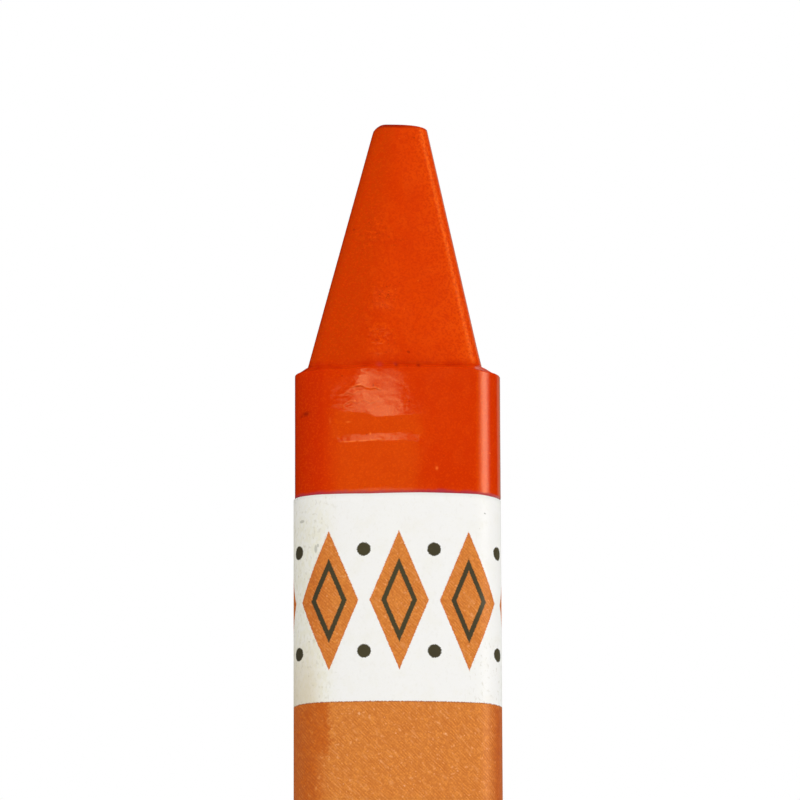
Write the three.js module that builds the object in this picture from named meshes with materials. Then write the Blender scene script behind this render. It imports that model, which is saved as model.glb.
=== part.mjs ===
// Triangular wax crayon with a paper label, in millimetres, standing on its butt end with its tip up.
// The origin is on the stick's axis at the butt end, and one of the three faces looks along -Y.

import * as THREE from 'three';

// Body of the stick: its width across one face, corner to corner, and the two radii of its section
const stickLength = 100;
const faceWidth = 12;
const bodyCornerRadius = 2.1;
const bodyFaceRadius = 20;
const buttEdgeRadius = 0.6;
const collarEdgeRadius = 0.25;

// Tip, measured up from the shoulder where the body ends
const tipLength = 15.4;
const ledgeWidth = 0.89;
const ledgeRise = 0.28;
const tipEndWidth = 3.1;
const tipFootCornerRadius = 0.95;
const tipEndCornerRadius = 0.78;
const tipFootFaceRadius = 17;
const tipEndFaceRadius = 5.2;
const tipEndEdgeRadius = 0.4;

// The tip is moulded a little askew: shifted along X on the body and leaning towards +X
const tipShift = -0.16;
const tipLeanDegrees = 1.75;

// Label: one sheet, rolled once round the stick and lapped over its own first edge on a back face
const collarLength = 7.55;
const buttBareLength = 3;
const paperThickness = 0.055;
const lapWidth = 4.5;
const lapClimb = 1.2;

// Paste films under the sheet's first edge and between the two layers of the lap
const pasteThickness = 0.014;
const filmClearance = 0.004;
const startPasteWidth = 3.2;
const lapPasteInset = 0.6;
const pasteEndInset = 1;

// Facets
const faceSteps = 14;
const cornerSteps = 14;
const edgeSteps = 4;
const ledgeSteps = 5;
const tipSteps = 6;

const sideCount = 3;
const sideAngle = (2 * Math.PI) / sideCount;
const halfSide = sideAngle / 2;
const frontAngle = -Math.PI / 2;
const shoulderZ = stickLength - tipLength;
const tipLean = THREE.MathUtils.degToRad(tipLeanDegrees);
const tipFootWidth = faceWidth - 2 * ledgeWidth;

// A three-sided section: slightly bulging faces that run smoothly into round corners. It starts with
// the face towards -Y and goes round anticlockwise, seen from above, as face, corner, face, corner.
function sectionArcs(width, cornerRadius, faceRadius) {
  const cornerReach = (width / 2 - cornerRadius) / Math.sin(halfSide);
  const radiusGap = faceRadius - cornerRadius;
  const faceReach = (Math.sqrt(4 * radiusGap ** 2 - 3 * cornerReach ** 2) - cornerReach) / 2;
  const halfFace = Math.asin((cornerReach * Math.sin(halfSide)) / radiusGap);
  const arcs = [];
  for (let side = 0; side < sideCount; side += 1) {
    const faceAngle = frontAngle + sideAngle * side;
    const cornerAngle = faceAngle + halfSide;
    arcs.push({
      x: -faceReach * Math.cos(faceAngle),
      y: -faceReach * Math.sin(faceAngle),
      radius: faceRadius,
      from: faceAngle - halfFace,
      to: faceAngle + halfFace,
      steps: faceSteps,
    });
    arcs.push({
      x: cornerReach * Math.cos(cornerAngle),
      y: cornerReach * Math.sin(cornerAngle),
      radius: cornerRadius,
      from: faceAngle + halfFace,
      to: faceAngle + sideAngle - halfFace,
      steps: cornerSteps,
    });
  }
  return arcs;
}

function arcPoint(arc, angle, offset) {
  const reach = arc.radius + offset;
  return new THREE.Vector2(arc.x + reach * Math.cos(angle), arc.y + reach * Math.sin(angle));
}

// One closed turn round the section, moved outwards by the offset.
function outline(arcs, offset = 0) {
  return arcs.flatMap((arc) => {
    const points = [];
    for (let step = 0; step < arc.steps; step += 1) {
      points.push(arcPoint(arc, THREE.MathUtils.lerp(arc.from, arc.to, step / arc.steps), offset));
    }
    return points;
  });
}

function flatRing(points, z) {
  return points.map((point) => new THREE.Vector3(point.x, point.y, z));
}

function middleOf(ring) {
  const middle = new THREE.Vector3();
  ring.forEach((point) => middle.add(point));
  return middle.divideScalar(ring.length);
}

function geometryOf(points, indices) {
  const geometry = new THREE.BufferGeometry().setFromPoints(points);
  geometry.setIndex(indices);
  geometry.computeVertexNormals();
  return geometry;
}

// Two triangles between each pair of neighbours on a lower and an upper closed ring, facing out.
function wallIndices(lower, upper, count) {
  const indices = [];
  for (let index = 0; index < count; index += 1) {
    const next = (index + 1) % count;
    indices.push(lower + index, lower + next, upper + next);
    indices.push(lower + index, upper + next, upper + index);
  }
  return indices;
}

// A solid through a stack of rings, closed by a fan at each end.
function loftGeometry(rings) {
  const count = rings[0].length;
  const last = (rings.length - 1) * count;
  const lowMiddle = rings.length * count;
  const highMiddle = lowMiddle + 1;
  const indices = [];
  for (let level = 1; level < rings.length; level += 1) {
    indices.push(...wallIndices((level - 1) * count, level * count, count));
  }
  for (let index = 0; index < count; index += 1) {
    const next = (index + 1) % count;
    indices.push(lowMiddle, next, index);
    indices.push(highMiddle, last + index, last + next);
  }
  return geometryOf([...rings.flat(), middleOf(rings[0]), middleOf(rings.at(-1))], indices);
}

// Rings that round off an end's edge, from the end's flat to the wall.
function edgeRings(arcs, radius, endZ, inwards) {
  const rings = [];
  for (let step = 0; step <= edgeSteps; step += 1) {
    const angle = ((step / edgeSteps) * Math.PI) / 2;
    const inset = radius * (1 - Math.sin(angle));
    const depth = radius * (1 - Math.cos(angle));
    rings.push(flatRing(outline(arcs, -inset), endZ + inwards * depth));
  }
  return rings;
}

// A ring of the tip at a height above the shoulder. Its plane tips over gradually from foot to end.
function tipRing(height, inset = 0) {
  const share = (height - ledgeRise) / (tipLength - ledgeRise);
  const width = THREE.MathUtils.lerp(tipFootWidth, tipEndWidth, share);
  const cornerRadius = THREE.MathUtils.lerp(tipFootCornerRadius, tipEndCornerRadius, share);
  const faceRadius = THREE.MathUtils.lerp(tipFootFaceRadius, tipEndFaceRadius, share);
  const tilt = tipLean * share;
  const axisX = tipShift + Math.tan(tipLean) * height;
  return outline(sectionArcs(width, cornerRadius, faceRadius), -inset).map((point) => new THREE.Vector3(
    axisX + point.x * Math.cos(tilt),
    point.y,
    shoulderZ + height - point.x * Math.sin(tilt),
  ));
}

// The ledge runs in from the collar's edge and turns up into the foot of the tip.
function ledgeRings(rim, foot) {
  const rings = [];
  for (let step = 1; step < ledgeSteps; step += 1) {
    const across = step / ledgeSteps;
    const up = 1 - Math.sqrt(1 - across ** 2);
    rings.push(rim.map((point, index) => {
      const onLedge = new THREE.Vector3().lerpVectors(point, foot[index], across);
      return onLedge.setZ(THREE.MathUtils.lerp(point.z, foot[index].z, up));
    }));
  }
  return rings;
}

// The tapered flank of the tip, then the rounded edge of its blunt end.
function tipRings() {
  const rings = [];
  const flankTop = tipLength - tipEndEdgeRadius;
  for (let step = 0; step <= tipSteps; step += 1) {
    rings.push(tipRing(THREE.MathUtils.lerp(ledgeRise, flankTop, step / tipSteps)));
  }
  for (let step = 1; step <= edgeSteps; step += 1) {
    const angle = ((step / edgeSteps) * Math.PI) / 2;
    rings.push(tipRing(
      flankTop + tipEndEdgeRadius * Math.sin(angle),
      tipEndEdgeRadius * (1 - Math.cos(angle)),
    ));
  }
  return rings;
}

const bodyArcs = sectionArcs(faceWidth, bodyCornerRadius, bodyFaceRadius);

function waxStickGeometry() {
  const butt = edgeRings(bodyArcs, buttEdgeRadius, 0, 1);
  const collar = edgeRings(bodyArcs, collarEdgeRadius, shoulderZ, -1).reverse();
  const tip = tipRings();
  return loftGeometry([...butt, ...collar, ...ledgeRings(collar.at(-1), tip[0]), ...tip]);
}

function arcLength(arc) {
  return arc.radius * (arc.to - arc.from);
}

const girth = bodyArcs.reduce((sum, arc) => sum + arcLength(arc), 0);

// Where a distance round the body lies, measured on the wax from the start of the front face.
function placeAt(distance) {
  let rest = distance % girth;
  let arcIndex = 0;
  while (rest > arcLength(bodyArcs[arcIndex]) && arcIndex < bodyArcs.length - 1) {
    rest -= arcLength(bodyArcs[arcIndex]);
    arcIndex += 1;
  }
  const arc = bodyArcs[arcIndex];
  return { arc, angle: arc.from + rest / arc.radius };
}

// The distances, from one to another, at which a sheet on the body has a facet line: the body's own
// facet lines in between, the two ends, and any others that are named.
function facetDistances(from, to, others = []) {
  const distances = [from, to, ...others];
  let arcStart = 0;
  while (arcStart < to) {
    for (const arc of bodyArcs) {
      for (let step = 0; step < arc.steps; step += 1) {
        distances.push(arcStart + (arcLength(arc) * step) / arc.steps);
      }
      arcStart += arcLength(arc);
    }
  }
  const inside = distances.filter((distance) => distance >= from && distance <= to);
  inside.sort((one, other) => one - other);
  return inside.filter((distance, index) => index === 0 || distance - inside[index - 1] > filmClearance / 2);
}

// A thin strip that lies round the body: standOff gives its inner side's height over the wax.
function stripGeometry(distances, standOff, thickness, lowZ, highZ) {
  const layerPoints = (lift) => distances.map((distance) => {
    const { arc, angle } = placeAt(distance);
    return arcPoint(arc, angle, standOff(distance) + lift);
  });
  const around = [...layerPoints(thickness), ...layerPoints(0).reverse()];
  const count = around.length;
  const indices = wallIndices(0, count, count);
  for (let outer = 0; outer + 1 < distances.length; outer += 1) {
    const inner = count - 1 - outer;
    indices.push(outer, inner, outer + 1, outer + 1, inner, inner - 1);
    indices.push(count + outer, count + outer + 1, count + inner);
    indices.push(count + outer + 1, count + inner - 1, count + inner);
  }
  return geometryOf([...flatRing(around, lowZ), ...flatRing(around, highZ)], indices);
}

const labelLowZ = buttBareLength;
const labelHighZ = shoulderZ - collarLength;
const seatHeight = pasteThickness + 2 * filmClearance;
const lapHeight = seatHeight + paperThickness + pasteThickness + 2 * filmClearance;
const [frontArc, frontCorner, lapArc] = bodyArcs;
const lapMiddle = arcLength(frontArc) + arcLength(frontCorner) + arcLength(lapArc) / 2;
const sheetStart = lapMiddle - lapWidth / 2;
const sheetEnd = sheetStart + girth + lapWidth;
const climbEnd = sheetStart + girth - filmClearance;
const climbStart = climbEnd - lapClimb;

// The sheet lies on the first layer, then climbs over its own first edge.
function sheetHeight(distance) {
  const climbed = THREE.MathUtils.clamp((distance - climbStart) / lapClimb, 0, 1);
  return THREE.MathUtils.lerp(seatHeight, lapHeight, climbed);
}

function wrapperGeometry() {
  const distances = facetDistances(sheetStart, sheetEnd, [climbStart, climbEnd]);
  return stripGeometry(distances, sheetHeight, paperThickness, labelLowZ, labelHighZ);
}

function pasteGeometry(from, width, height) {
  const distances = facetDistances(from, from + width);
  const lowZ = labelLowZ + pasteEndInset;
  const highZ = labelHighZ - pasteEndInset;
  return stripGeometry(distances, () => height, pasteThickness, lowZ, highZ);
}

function startPasteGeometry() {
  return pasteGeometry(sheetStart, startPasteWidth, filmClearance);
}

function lapPasteGeometry() {
  const width = lapWidth - 2 * lapPasteInset;
  return pasteGeometry(sheetStart + lapPasteInset, width, seatHeight + paperThickness + filmClearance);
}

const wax = new THREE.MeshStandardMaterial({ color: 0xd73c02, roughness: 0.45, metalness: 0 });
const printedPaper = new THREE.MeshStandardMaterial({ color: 0xd7823d, roughness: 0.8, metalness: 0 });
const driedPaste = new THREE.MeshStandardMaterial({ color: 0xe8e0c8, roughness: 0.6, metalness: 0 });

function piece(name, geometry, material) {
  const mesh = new THREE.Mesh(geometry, material);
  mesh.name = name;
  return mesh;
}

const crayon = new THREE.Group();
crayon.add(piece('wax_stick', waxStickGeometry(), wax));
crayon.add(piece('paper_wrapper', wrapperGeometry(), printedPaper));
crayon.add(piece('start_glue', startPasteGeometry(), driedPaste));
crayon.add(piece('lap_glue', lapPasteGeometry(), driedPaste));

export default crayon;
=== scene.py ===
import math

import bpy
import numpy as np
from mathutils import Matrix, Vector


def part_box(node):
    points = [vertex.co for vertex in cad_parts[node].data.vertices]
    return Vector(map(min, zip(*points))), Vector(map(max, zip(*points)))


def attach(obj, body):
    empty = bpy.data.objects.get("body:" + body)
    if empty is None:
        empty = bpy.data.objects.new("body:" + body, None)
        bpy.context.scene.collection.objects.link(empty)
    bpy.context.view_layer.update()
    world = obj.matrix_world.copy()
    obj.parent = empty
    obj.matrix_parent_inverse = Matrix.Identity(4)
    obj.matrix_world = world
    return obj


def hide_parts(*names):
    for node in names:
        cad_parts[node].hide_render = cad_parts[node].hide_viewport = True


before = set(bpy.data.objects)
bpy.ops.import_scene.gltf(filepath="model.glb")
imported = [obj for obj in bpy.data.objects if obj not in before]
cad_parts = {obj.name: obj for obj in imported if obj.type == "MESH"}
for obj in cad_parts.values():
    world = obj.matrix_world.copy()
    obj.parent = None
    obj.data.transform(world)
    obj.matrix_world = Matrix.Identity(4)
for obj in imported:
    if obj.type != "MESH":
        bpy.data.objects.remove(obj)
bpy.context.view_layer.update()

MM = 0.001


def box_mm(node):
    low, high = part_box(node)
    return np.array(low) / MM, np.array(high) / MM


# Sizes read from the frame
wax_low, wax_high = box_mm("wax_stick")
label_low, label_high = box_mm("paper_wrapper")
FACE_WIDTH = wax_high[0] - wax_low[0]
LABEL_BOTTOM = label_low[2]
LABEL_TOP = label_high[2]

# The stick's own sizes
STICK_LENGTH = 100.0
TIP_LENGTH = 15.4
SHOULDER = STICK_LENGTH - TIP_LENGTH
CORNER_RADIUS = 2.1
FACE_RADIUS = 20.0
BUTT_EDGE = 0.6
COLLAR_EDGE = 0.09
LEDGE_WIDTH = 0.89
LEDGE_RISE = 0.28
LEDGE_RISE_RIGHT = 0.34
TIP_END_WIDTH = 3.1
TIP_CORNER_RADII = (0.95, 0.78)
TIP_FACE_RADII = (17.0, 5.2)
TIP_EDGE = 0.09
TIP_SHIFT = -0.16
TIP_LEAN = math.radians(1.75)

# The label's own sizes
PAPER = 0.055
PASTE = 0.014
FILM_GAP = 0.004
LAP_WIDTH = 4.5
LAP_CLIMB = 1.2
WHITE_BAND = 12.35

SIDES = 3
SIDE_ANGLE = 2 * math.pi / SIDES
FRONT_ANGLE = -math.pi / 2


def section_arcs(width, corner_radius, face_radius):
    """Middle, radius, first and last angle of the section's arcs, from the front face anticlockwise."""
    half_side = SIDE_ANGLE / 2
    corner_reach = (width / 2 - corner_radius) / math.sin(half_side)
    gap = face_radius - corner_radius
    face_reach = (math.sqrt(4 * gap**2 - 3 * corner_reach**2) - corner_reach) / 2
    half_face = math.asin(corner_reach * math.sin(half_side) / gap)
    arcs = []
    for side in range(SIDES):
        face = FRONT_ANGLE + SIDE_ANGLE * side
        corner = face + half_side
        arcs.append((-face_reach * math.cos(face), -face_reach * math.sin(face), face_radius,
                     face - half_face, face + half_face))
        arcs.append((corner_reach * math.cos(corner), corner_reach * math.sin(corner), corner_radius,
                     face + half_face, face + SIDE_ANGLE - half_face))
    return arcs


BODY_ARCS = section_arcs(FACE_WIDTH, CORNER_RADIUS, FACE_RADIUS)
ARC_LENGTHS = [radius * (last - first) for _, _, radius, first, last in BODY_ARCS]
GIRTH = sum(ARC_LENGTHS)


def stations(arcs, steps):
    """Middle, radius and angle of each point round the section, one row a point."""
    rows = []
    for (x, y, radius, first, last), count in zip(arcs, steps):
        for angle in np.linspace(first, last, count, endpoint=False):
            rows.append((x, y, radius, angle))
    return np.array(rows)


def outline(rows, offset=0.0):
    reach = rows[:, 2] + offset
    x = rows[:, 0] + reach * np.cos(rows[:, 3])
    y = rows[:, 1] + reach * np.sin(rows[:, 3])
    return np.column_stack([x, y])


# Noise and shaping
NOISE_CELLS = 64
noise_table = np.random.default_rng(7).random((NOISE_CELLS,) * 3) * 2 - 1


def noise(points, cell, octaves, shift=0.0):
    """Smooth noise from -1 to 1 at points in millimetres, with features about a cell wide."""
    total = np.zeros(len(points))
    weight, reach = 1.0, 0.0
    for octave in range(octaves):
        q = np.asarray(points) / cell * 2**octave + shift + 17.3 * octave
        base = np.floor(q).astype(int)
        f = q - base
        f = f * f * (3 - 2 * f)
        value = np.zeros(len(q))
        for corner in np.ndindex(2, 2, 2):
            share = np.prod(np.where(corner, f, 1 - f), axis=1)
            i, j, k = ((base + corner) % NOISE_CELLS).T
            value += share * noise_table[i, j, k]
        total += weight * value
        reach += weight
        weight *= 0.5
    return total / reach


def smooth_step(low, high, value):
    """0 below low, rising smoothly to 1 at high."""
    t = np.clip((value - low) / (high - low), 0, 1)
    return t * t * (3 - 2 * t)


def fade(low, high, value):
    """1 below low, falling smoothly to 0 at high."""
    return 1 - smooth_step(low, high, value)


def ends(value, low, high, soft):
    """1 between low and high, falling to 0 over soft at both ends."""
    return smooth_step(low, low + soft, value) * fade(high - soft, high, value)


def hump(value, middle, reach):
    """1 at middle, falling off smoothly within about reach of it."""
    return np.exp(-((value - middle) / reach) ** 2)


# Mesh making
def grid_faces(rows, columns, closed):
    """Quads between neighbouring points of a grid whose rows are rings or strips."""
    i = np.arange(rows - 1)[:, None]
    j = np.arange(columns if closed else columns - 1)[None, :]
    after = (j + 1) % columns
    return np.stack([i * columns + j, i * columns + after, (i + 1) * columns + after, (i + 1) * columns + j],
                    axis=-1).reshape(-1, 4)


def add_object(name, data):
    thing = bpy.data.objects.new(name, data)
    bpy.context.collection.objects.link(thing)
    return thing


def write_values(mesh, label, values):
    """One number or one vector for each of the mesh's points."""
    values = np.asarray(values, dtype=np.float32)
    kind, field = ("FLOAT_VECTOR", "vector") if values.ndim == 2 else ("FLOAT", "value")
    mesh.attributes.new(label, kind, "POINT").data.foreach_set(field, values.ravel())


def make_piece(name, points, faces, material, attributes):
    """A smooth mesh object from points in millimetres, riding on the one body."""
    mesh = bpy.data.meshes.new(name)
    mesh.from_pydata((np.asarray(points) * MM).tolist(), [], [list(map(int, face)) for face in faces])
    mesh.shade_smooth()
    for label, values in attributes.items():
        write_values(mesh, label, values)
    mesh.materials.append(material)
    piece = add_object(name, mesh)
    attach(piece, "root")
    return piece


# Materials
def srgb(red, green, blue):
    """Linear colour from screen values of 0 to 255."""
    def linear(value):
        value /= 255
        return value / 12.92 if value <= 0.04045 else ((value + 0.055) / 1.055) ** 2.4
    return (linear(red), linear(green), linear(blue), 1.0)


class Nodes:
    """Short ways to add nodes to a tree."""

    def __init__(self, tree):
        self.tree = tree

    def put(self, socket, value):
        if isinstance(value, bpy.types.NodeSocket):
            self.tree.links.new(value, socket)
        else:
            socket.default_value = value

    def add(self, kind, inputs=None, **settings):
        node = self.tree.nodes.new(kind)
        for key, value in settings.items():
            setattr(node, key, value)
        for key, value in (inputs or {}).items():
            self.put(node.inputs[key], value)
        return node

    def math(self, operation, first, second=0.0, third=0.0):
        return self.add("ShaderNodeMath", {0: first, 1: second, 2: third}, operation=operation).outputs[0]

    def plus(self, first, second):
        return self.math("ADD", first, second)

    def minus(self, first, second):
        return self.math("SUBTRACT", first, second)

    def times(self, first, *others):
        """Product of values, from left to right."""
        for other in others:
            first = self.math("MULTIPLY", first, other)
        return first

    def between(self, value, low, high, out_low=0.0, out_high=1.0):
        """value moved smoothly from low..high to out_low..out_high, and held there."""
        node = self.add("ShaderNodeMapRange", {"Value": value, "From Min": low, "From Max": high,
                                               "To Min": out_low, "To Max": out_high},
                        interpolation_type="SMOOTHSTEP")
        return node.outputs[0]

    def within(self, value, low, high, soft):
        """1 where value lies between low and high, falling to 0 over soft outside them."""
        rising = self.between(value, low - soft, low)
        return self.times(rising, self.between(value, high, high + soft, 1.0, 0.0))

    def mix(self, share, first, second, blend="MIX"):
        node = self.add("ShaderNodeMix", {0: share, 6: first, 7: second}, data_type="RGBA", blend_type=blend)
        return node.outputs[2]

    def painted(self, colour, *coats):
        """A colour under coats of (share, colour), from the lowest up."""
        for share, paint in coats:
            colour = self.mix(share, colour, paint)
        return colour

    def place(self):
        return self.add("ShaderNodeTexCoord").outputs["Object"]

    def moved(self, vector, scale=(1, 1, 1), turn=(0, 0, 0)):
        return self.add("ShaderNodeMapping", {"Vector": vector, "Rotation": turn, "Scale": scale}).outputs[0]

    def noise(self, vector, per_mm, detail, distortion=0.0):
        """Noise from 0 to 1 over a vector in millimetres, with about per_mm features in each."""
        node = self.add("ShaderNodeTexNoise", {"Vector": vector, "Scale": per_mm, "Detail": detail,
                                               "Distortion": distortion})
        return node.outputs["Fac"]

    def apart(self, first, second):
        """How far two values are apart."""
        return self.math("ABSOLUTE", self.minus(first, second))

    def attribute(self, name, output="Fac"):
        return self.add("ShaderNodeAttribute", attribute_name=name).outputs[output]

    def bump(self, height, distance_m, strength=1.0):
        inputs = {"Height": height, "Distance": distance_m, "Strength": strength}
        return self.add("ShaderNodeBump", inputs).outputs[0]


class Shader(Nodes):
    """A material with one Principled shader."""

    def __init__(self, name, **settings):
        self.material = bpy.data.materials.new(name)
        self.material.use_nodes = True
        super().__init__(self.material.node_tree)
        self.surface = self.tree.nodes["Principled BSDF"]
        for socket, value in settings.items():
            self.surface.inputs[socket.replace("_", " ")].default_value = value

    def drive(self, socket, value):
        self.tree.links.new(value, self.surface.inputs[socket])

    def show(self, node):
        """Let a node take the Principled shader's place at the output."""
        self.tree.links.new(node.outputs[0], self.tree.nodes["Material Output"].inputs[0])


def in_millimetres(mat):
    return mat.moved(mat.place(), scale=(1 / MM,) * 3)


WAX = srgb(222, 63, 1)
WAX_DEEP = srgb(214, 54, 1)
WAX_WARM = srgb(227, 71, 2)
WAX_GRAIN_DEEP = srgb(209, 50, 1)
# Painted shade: the next colour darkens the stick's left side below the tip and is mixed at 0.42 over the
# rest of it there; the one after darkens the tip's left side
WAX_SIDE_SHADE = srgb(208, 45, 1)
WAX_SHADE = srgb(206, 60, 1)
# Dark pits and stains, also used as painted shade in the wrinkles and along the tip's top edge
WAX_DARK_PIT_AND_SHADE = srgb(150, 26, 6)
# Pale dust and flecks, also used as painted highlights on the wrinkles' lips
WAX_DUST_AND_HIGHLIGHT = srgb(250, 118, 48)
WAX_GRAIN = srgb(238, 84, 6)
# Painted highlight along the tip's right corner
WAX_RIDGE_HIGHLIGHT = srgb(239, 84, 8)
# Mauve smears at the tip's foot, and the thin line along the label's top edge
WAX_MAUVE = srgb(180, 58, 70)
# Painted shade in the crease between the ledge and the tip's foot
WAX_CREVICE_SHADE = srgb(184, 32, 1)
# How deep light spreads in the wax, and how deep its fine relief is
WAX_SPREAD_m = 0.0005
WAX_RELIEF_m = 0.00002
WAX_SPREAD_COLOURS = (1.0, 0.25, 0.08)
WAX_GLOSS_TINT = (1.0, 0.72, 0.45, 1.0)
WAX_ROUGHNESS = (0.08, 0.12)
RIDGE_ROUGHNESS = 0.22
END_ROUGHNESS = 0.6


def wax_material():
    """Orange-red wax, clouded and grained, with the marks, painted shade and painted highlights that the
    mesh's attributes place.
    """
    mat = Shader("wax", IOR=1.44, Subsurface_Weight=0.2, Subsurface_Scale=WAX_SPREAD_m,
                 Subsurface_Radius=WAX_SPREAD_COLOURS, Specular_Tint=WAX_GLOSS_TINT)
    place = in_millimetres(mat)
    clouds = mat.noise(place, 0.22, detail=3)
    mottle = mat.noise(place, 1.3, detail=5)
    grain = mat.noise(place, 7.0, detail=4)
    fine = mat.noise(mat.moved(place, turn=(0.3, 1.1, 0.6)), 9.0, detail=2)
    bright = mat.between(mat.noise(place, 4.5, detail=4), 0.5, 0.66)
    dark = mat.between(mat.noise(mat.moved(place, turn=(0.7, 0.2, 0.5)), 5.5, detail=3), 0.58, 0.72)
    pits = mat.noise(place, 3.1, detail=1)
    dust = mat.noise(mat.moved(place, turn=(0.4, 0.9, 0.2)), 4.3, detail=1)
    worn, ridge = mat.attribute("wear"), mat.attribute("ridge")
    colour = mat.painted(
        WAX,
        (mat.between(clouds, 0.38, 0.62), WAX_DEEP),
        (mat.between(mottle, 0.4, 0.72, 0.0, 0.6), WAX_WARM),
        # Painted shade on the left sides of the stick and the tip
        (mat.attribute("side"), WAX_SIDE_SHADE),
        (mat.attribute("shade"), WAX_SHADE),
        # Painted highlight along the tip's right corner
        (mat.times(ridge, mat.between(grain, 0.34, 0.6, 0.35, 1.0)), WAX_RIDGE_HIGHLIGHT),
        (mat.between(grain, 0.4, 0.56, 0.65, 0.0), WAX_GRAIN_DEEP),
        (mat.between(fine, 0.5, 0.66, 0.0, 0.5), WAX_WARM),
        (mat.times(bright, worn, 0.7), WAX_GRAIN),
        (mat.times(dark, worn, 0.7), WAX_DARK_PIT_AND_SHADE),
        (mat.between(pits, 0.765, 0.80, 0.0, 0.5), WAX_DARK_PIT_AND_SHADE),
        (mat.between(dust, 0.79, 0.82, 0.0, 0.6), WAX_DUST_AND_HIGHLIGHT),
        # Painted shade in the crease at the tip's foot
        (mat.attribute("crevice_shade"), WAX_CREVICE_SHADE),
        # Real stains, pits and chips, and painted shade in the wrinkles and along the tip's top edge
        (mat.attribute("stain"), WAX_DARK_PIT_AND_SHADE),
        # Mauve smears at the tip's foot and a thin line along the label's top edge
        (mat.attribute("smear_and_edge_line"), WAX_MAUVE),
        # Real flecks, and painted highlights on the wrinkles' lips
        (mat.attribute("fleck_and_highlight"), WAX_DUST_AND_HIGHLIGHT))
    mat.drive("Base Color", colour)
    rough = mat.between(mottle, 0.3, 0.7, *WAX_ROUGHNESS)
    rough = mat.math("MAXIMUM", rough, mat.times(ridge, RIDGE_ROUGHNESS))
    rough = mat.math("MAXIMUM", rough, mat.times(mat.attribute("end"), END_ROUGHNESS))
    mat.drive("Roughness", rough)
    relief = mat.plus(mat.times(grain, 0.7), mottle)
    gritty = mat.math("MULTIPLY_ADD", mat.math("MAXIMUM", worn, ridge), 0.8, 0.3)
    mat.drive("Normal", mat.bump(mat.times(relief, gritty), WAX_RELIEF_m))
    return mat.material


PAPER_WHITE = srgb(243, 242, 239)
PAPER_GRIME = srgb(231, 227, 203)
PAPER_BROWN = srgb(212, 192, 154)
PAPER_DIRT = srgb(186, 178, 156)
PRINT_TAN = srgb(233, 147, 62)
PRINT_TAN_DEEP = srgb(196, 106, 38)
PRINT_TAN_LIGHT = srgb(240, 168, 104)
PRINT_GLINT = srgb(246, 184, 130)
PRINT_EDGE = srgb(120, 66, 30)
PRINT_FRINGE = srgb(196, 92, 52)
INK = srgb(66, 60, 40)
PAPER_CORE = srgb(236, 230, 214)
PAPER_MARK = srgb(150, 148, 134)
# What the tan is multiplied by: at its stained left side, which also bears painted shade, and at its right
# rim, where it is painted shade
TAN_STAIN_AND_SHADE = (0.8, 0.47, 0.02, 1.0)
TAN_RIM_SHADE = (0.76, 0.49, 0.24, 1.0)
PAPER_RELIEF_m = 0.000008

# The print's line screens: pitch and slope of the lines, and how many radians they waver by
SCREEN_PITCH = 0.147
SCREEN_SLOPE = math.radians(45)
CROSS_PITCH = 0.13
CROSS_SLOPE = math.radians(-51)
SCREEN_WAVER = 9.0

# Where the label's front is stained, grimy, speckled or darkened as painted shade at its sides, as
# millimetres from its middle
STAIN_SPAN = (-6.4, -4.2)
STAIN_DROP = 2.7
RAGGED_MEAN = 0.65
GRIME_SPAN = (-8.3, -4.8)
LEFT_SHADE = (-8.2, -5.2)
RIGHT_SHADE = (6.15, 8.2)
SPECKLE_SPAN = (4.6, 7.4)
# Smudges on the white band: along, below the label's top, half width and half height
MARKS = ((-5.83, 1.58, 0.22, 0.1), (-4.85, 3.31, 0.1, 0.26), (-4.72, 3.12, 0.07, 0.12))

# The printed frieze: tall diamonds in a row round the white band, with ink dots in the notches
MOTIFS = 9
MOTIF_PITCH = GIRTH / MOTIFS
PRINT_TOP = LABEL_TOP - WHITE_BAND
DIAMOND_HALF_WIDTH = 1.72
DIAMOND_HALF_HEIGHT = 4.1
INLINE_SHARE = 0.52
INLINE_HALF_STROKE = 0.075
DOT_RADIUS = 0.4
DOT_HEIGHT = 3.0
FRIEZE_MIDDLE = LABEL_TOP - 6.4
# The tan's painted shade at its sides changes over this span of heights at its upper border
BORDER_SPAN = (PRINT_TOP - 0.3, PRINT_TOP + 0.3)
# How ragged and soft the print's edges are, and half widths of the tan's border and the diamonds' fringe
RAGGED_EDGE = 0.13
SOFT_EDGE = 0.03
BORDER_HALF_WIDTH = 0.025
FRINGE_HALF_WIDTH = 0.03


def screen_lines(mat, along, up, pitch, slope, wobble):
    """Thin printed lines that slope down to the right, from 0 to 1."""
    across = mat.plus(mat.times(along, math.sin(slope)), mat.times(up, math.cos(slope)))
    turns = mat.plus(mat.times(across, 2 * math.pi / pitch), mat.times(wobble, SCREEN_WAVER))
    return mat.math("MULTIPLY_ADD", mat.math("SINE", turns), 0.5, 0.5)


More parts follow.
